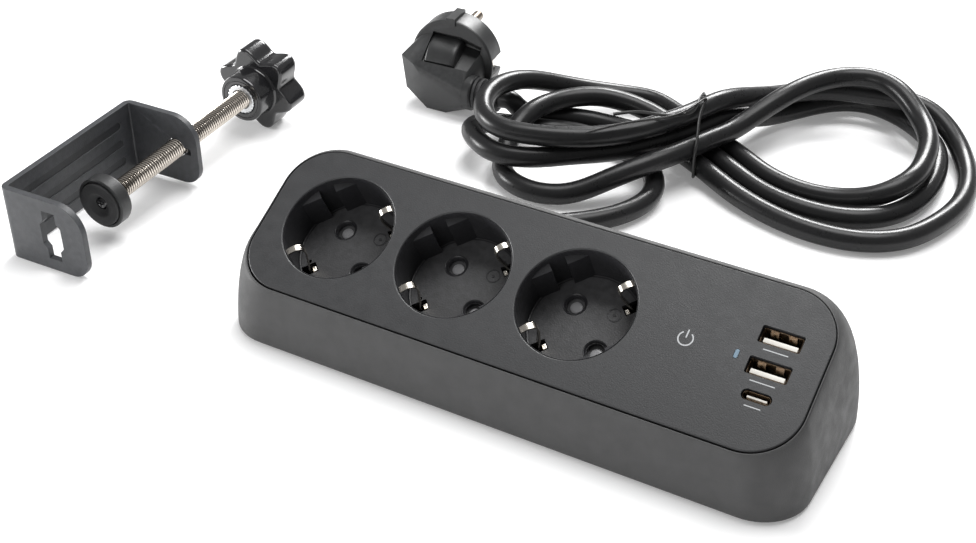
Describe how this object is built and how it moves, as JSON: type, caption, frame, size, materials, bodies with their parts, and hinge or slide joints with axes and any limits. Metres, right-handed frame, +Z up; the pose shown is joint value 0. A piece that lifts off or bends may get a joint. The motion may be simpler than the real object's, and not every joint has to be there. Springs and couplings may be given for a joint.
{
  "type": "desk power strip",
  "caption": "Sloped desk power strip with round earthed outlets, USB ports, coiled cable with angled plug and a loose desk clamp.",
  "frame": {"origin": "on the desk under the middle of the top cover, at the base's centre foot", "axes": "+X along the strip towards the USB ports, +Y towards the back where the cable leaves, +Z up; the plug and cable lie behind the strip and the clamp lies at its left"},
  "size_m": [0.3067, 0.2717, 0.0513],
  "materials": {
    "board": "solder mask",
    "brass": "rolled",
    "bronze_shell": "tin-bronze plated",
    "cable_jacket": "satin flexible PVC",
    "component": "lacquered",
    "core_blue": "satin",
    "core_brown": "satin",
    "core_green": "satin",
    "cover_plastic": "soft satin",
    "insert_plastic": "matte",
    "knob_plastic": "polished",
    "led": "clear lens",
    "light_pipe": "polished, slightly cloudy",
    "nickel": "bright nickel",
    "plug_plastic": "fine-textured satin",
    "powder_coat": "fine powder coat",
    "rubber": "matte",
    "shell_plastic": "fine-textured matte",
    "shutter_plastic": "satin",
    "spring_steel": "bright wire",
    "tie_wire": "satin coated wire",
    "white_plastic": "satin",
    "zinc": "dull zinc"
  },
  "bodies": {
    "housing": {"base_shell": "shell_plastic", "cable_grommet": "rubber", "cord_clamp": "insert_plastic", "cord_clamp_screw_1": "nickel", "cord_clamp_screw_2": "nickel", "cover_screw_1": "nickel", "cover_screw_2": "nickel", "cover_screw_3": "nickel", "cover_screw_4": "nickel", "earth_busbar": "brass", "earth_clip_1": "nickel", "earth_clip_2": "nickel", "earth_clip_3": "nickel", "earth_core": "core_green", "light_pipe": "light_pipe", "live_busbar": "brass", "live_core": "core_brown", "neutral_busbar": "brass", "neutral_core": "core_blue", "plug_bend_relief": "rubber", "plug_body": "plug_plastic", "plug_earth_contact_1": "nickel", "plug_earth_contact_2": "nickel", "plug_pin_1": "nickel", "plug_pin_2": "nickel", "power_cable": "cable_jacket", "rubber_foot_1": "rubber", "rubber_foot_2": "rubber", "rubber_foot_3": "rubber", "rubber_foot_4": "rubber", "rubber_foot_5": "rubber", "shutter_spring_1": "spring_steel", "shutter_spring_2": "spring_steel", "shutter_spring_3": "spring_steel", "socket_insert_1": "insert_plastic", "socket_insert_2": "insert_plastic", "socket_insert_3": "insert_plastic", "status_led": "led", "top_cover": "cover_plastic", "transformer": "component", "usb_a_shell_1": "bronze_shell", "usb_a_shell_2": "bronze_shell", "usb_a_tongue_1": "white_plastic", "usb_a_tongue_2": "white_plastic", "usb_board": "board", "usb_c_shell": "bronze_shell", "usb_c_tongue": "white_plastic", "usb_live_lead": "core_brown", "usb_neutral_lead": "core_blue", "wire_tie": "tie_wire"},
    "bracket": {"clamp_bracket": "powder_coat"},
    "pad": {"pad_cup": "plug_plastic", "pad_disc": "rubber", "pad_screw": "knob_plastic"},
    "spindle": {"clamp_spindle": "nickel", "clamp_knob": "knob_plastic", "knob_nut": "zinc"},
    "shutter_body_1": {"shutter_1": "shutter_plastic"},
    "shutter_body_2": {"shutter_2": "shutter_plastic"},
    "shutter_body_3": {"shutter_3": "shutter_plastic"}
  },
  "joints": [
    {"name": "clamp_place", "type": "slide", "parent": "housing", "child": "bracket", "axis": [-1, 0, 0], "range_m": [0, 0.08]},
    {"name": "pad_travel", "type": "slide", "parent": "bracket", "child": "pad", "axis": [-0.0297, 0.9994, 0.0201], "range_m": [-0.02187, 0.03562]},
    {"name": "spindle_turn", "type": "hinge", "parent": "pad", "child": "spindle", "pos_m": [-0.1787, 0.04635, 0.01648], "axis": [-0.0297, 0.9994, 0.0201], "range_deg": [-6310, 10270]},
    {"name": "shutter_turn_1", "type": "hinge", "parent": "housing", "child": "shutter_body_1", "pos_m": [-0.0715, 0.01037, 0.02008], "axis": [0, -0.4833, 0.8755], "range_deg": [0, 38]},
    {"name": "shutter_turn_2", "type": "hinge", "parent": "housing", "child": "shutter_body_2", "pos_m": [-0.0265, 0.01037, 0.02008], "axis": [0, -0.4833, 0.8755], "range_deg": [0, 38]},
    {"name": "shutter_turn_3", "type": "hinge", "parent": "housing", "child": "shutter_body_3", "pos_m": [0.0185, 0.01037, 0.02008], "axis": [0, -0.4833, 0.8755], "range_deg": [0, 38]}
  ],
  "couplings": [
    {"joint": "spindle_turn", "follows": "pad_travel", "rad_per_m": 5026.5}
  ]
}
